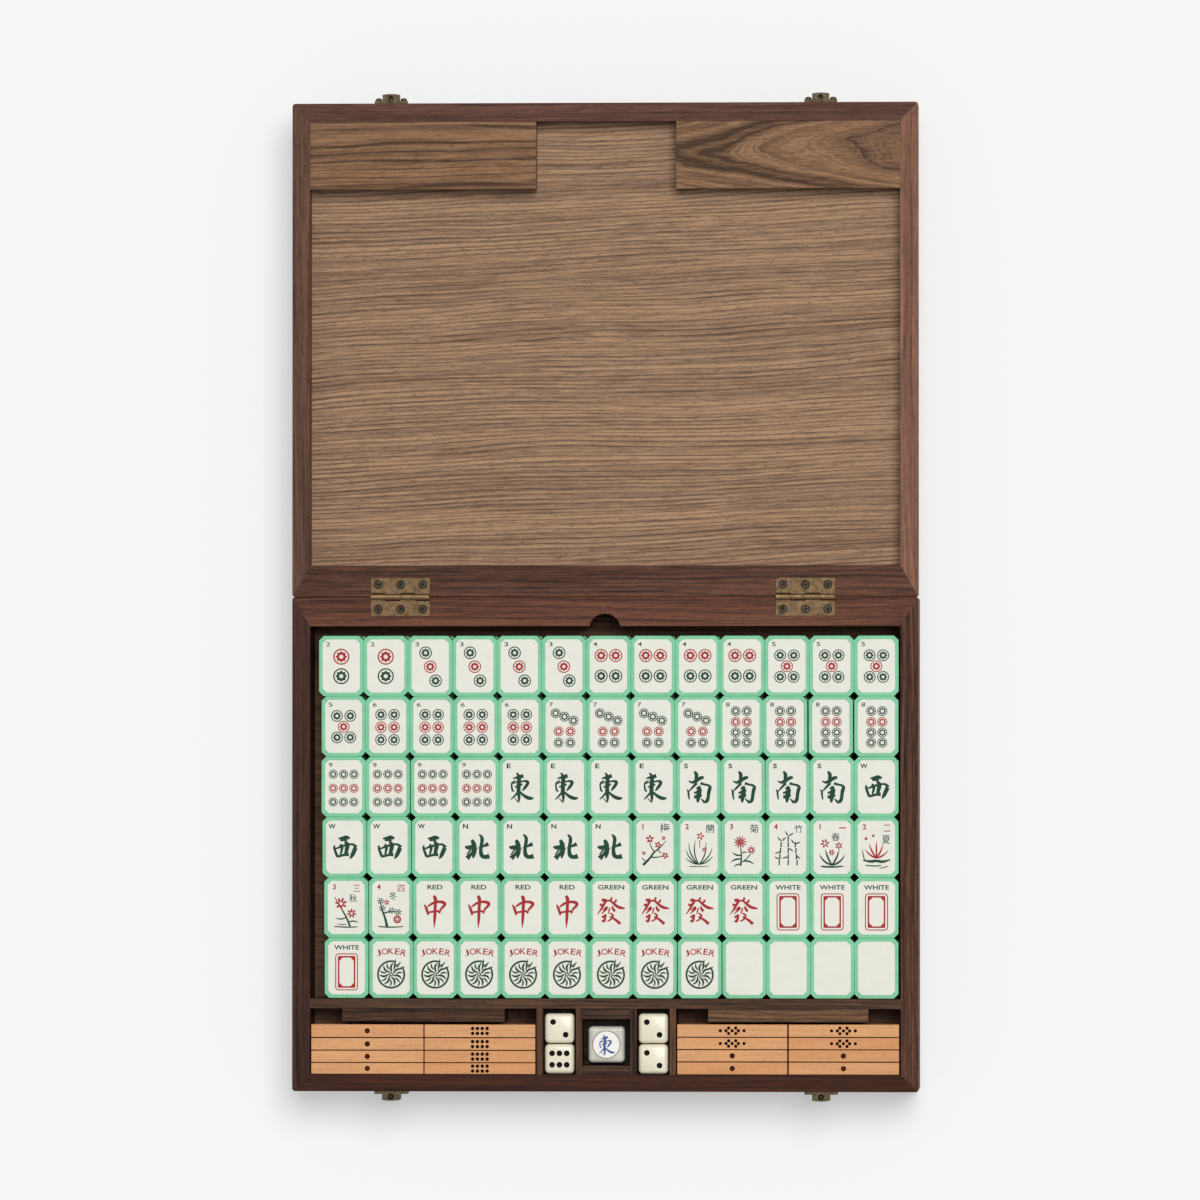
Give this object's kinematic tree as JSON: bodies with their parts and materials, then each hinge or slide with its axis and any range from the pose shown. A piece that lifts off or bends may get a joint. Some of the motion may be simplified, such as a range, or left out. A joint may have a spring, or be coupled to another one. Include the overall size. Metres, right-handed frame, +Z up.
{
  "type": "mahjong case",
  "caption": "Flat wooden game case, lid folded fully open, with tiles in two layers, scoring sticks, dice and a wind die in fitted wells.",
  "frame": {"origin": "on the surface that the case stands on, straight under the middle of the hinge line", "axes": "+X along the hinge line to the right, +Y towards the open lid, +Z up"},
  "size_m": [0.3166, 0.5092, 0.0381],
  "materials": {
    "rail_walnut": "satin oiled walnut, reddish",
    "fitting_walnut": "satin walnut, greyer",
    "floor_wood": "satin",
    "lid_veneer": "matt veneer, pale",
    "hinge_brass": "antique brass",
    "latch_brass": "darkened brass",
    "screw_steel": "dark bronzed",
    "tile_back": "polished green",
    "tile_face": "polished ivory",
    "stick_beech": "varnished beech",
    "dice_plastic": "polished ivory",
    "wind_die_plastic": "polished grey green",
    "disc_plastic": "polished white"
  },
  "bodies": {
    "base": {"base_back_rail": "rail_walnut", "base_front_rail": "rail_walnut", "base_left_rail": "rail_walnut", "base_right_rail": "rail_walnut", "base_floor_panel": "floor_wood", "tile_well_divider": "fitting_walnut", "dice_partition_left_outer": "fitting_walnut", "dice_partition_left_inner": "fitting_walnut", "dice_partition_right_inner": "fitting_walnut", "dice_partition_right_outer": "fitting_walnut", "stick_spacer_left": "fitting_walnut", "stick_spacer_right": "fitting_walnut", "wind_well_back_block": "fitting_walnut", "wind_well_front_block": "fitting_walnut", "wind_well_floor": "fitting_walnut", "dice_well_floors": "fitting_walnut", "left_hinge_base_leaf": "hinge_brass", "left_hinge_pin": "hinge_brass", "right_hinge_base_leaf": "hinge_brass", "right_hinge_pin": "hinge_brass", "base_hinge_screws": "screw_steel", "left_latch_housing": "latch_brass", "right_latch_housing": "latch_brass", "latch_housing_screws": "screw_steel"},
    "lid": {"lid_back_rail": "rail_walnut", "lid_front_rail": "rail_walnut", "lid_left_rail": "rail_walnut", "lid_right_rail": "rail_walnut", "lid_panel": "lid_veneer", "lid_block_left": "fitting_walnut", "lid_block_right": "fitting_walnut", "left_hinge_lid_leaf": "hinge_brass", "right_hinge_lid_leaf": "hinge_brass", "lid_hinge_screws": "screw_steel", "left_latch_keeper": "latch_brass", "right_latch_keeper": "latch_brass", "latch_keeper_screws": "screw_steel"},
    "left_latch_bolt": {"left_latch_bolt": "latch_brass"},
    "right_latch_bolt": {"right_latch_bolt": "latch_brass"},
    "lower_tiles": {"lower_tile_backs": "tile_back", "lower_tile_faces": "tile_face"},
    "upper_tiles": {"upper_tile_backs_row_1": "tile_back", "upper_tile_faces_row_1": "tile_face", "upper_tile_backs_row_2": "tile_back", "upper_tile_faces_row_2": "tile_face", "upper_tile_backs_row_3": "tile_back", "upper_tile_faces_row_3": "tile_face", "upper_tile_backs_row_4": "tile_back", "upper_tile_faces_row_4": "tile_face", "upper_tile_backs_row_5": "tile_back", "upper_tile_faces_row_5": "tile_face", "upper_tile_backs_row_6": "tile_back", "upper_tile_faces_row_6": "tile_face"},
    "left_sticks": {"left_sticks": "stick_beech"},
    "right_sticks": {"right_sticks": "stick_beech"},
    "left_dice": {"left_dice": "dice_plastic"},
    "right_dice": {"right_dice": "dice_plastic"},
    "wind_die": {"wind_die": "wind_die_plastic", "wind_die_discs": "disc_plastic"}
  },
  "joints": [
    {"name": "lid_hinge", "type": "hinge", "parent": "base", "child": "lid", "pos_m": [0, 0, 0.0365], "axis": [-1, 0, 0], "range_deg": [-180, 0]},
    {"name": "left_latch_slide", "type": "slide", "parent": "base", "child": "left_latch_bolt", "axis": [0, 0, 1], "range_m": [0, 0.0046]},
    {"name": "right_latch_slide", "type": "slide", "parent": "base", "child": "right_latch_bolt", "axis": [0, 0, 1], "range_m": [0, 0.0046]},
    {"name": "lower_tiles_lift", "type": "slide", "parent": "base", "child": "lower_tiles", "axis": [0, 0, 1], "range_m": [0, 0.05]},
    {"name": "upper_tiles_lift", "type": "slide", "parent": "lower_tiles", "child": "upper_tiles", "axis": [0, 0, 1], "range_m": [0, 0.03]},
    {"name": "left_sticks_lift", "type": "slide", "parent": "base", "child": "left_sticks", "axis": [0, 0, 1], "range_m": [0, 0.05]},
    {"name": "right_sticks_lift", "type": "slide", "parent": "base", "child": "right_sticks", "axis": [0, 0, 1], "range_m": [0, 0.05]},
    {"name": "left_dice_lift", "type": "slide", "parent": "base", "child": "left_dice", "axis": [0, 0, 1], "range_m": [0, 0.035]},
    {"name": "right_dice_lift", "type": "slide", "parent": "base", "child": "right_dice", "axis": [0, 0, 1], "range_m": [0, 0.035]},
    {"name": "wind_die_lift", "type": "slide", "parent": "base", "child": "wind_die", "axis": [0, 0, 1], "range_m": [0, 0.04]}
  ]
}
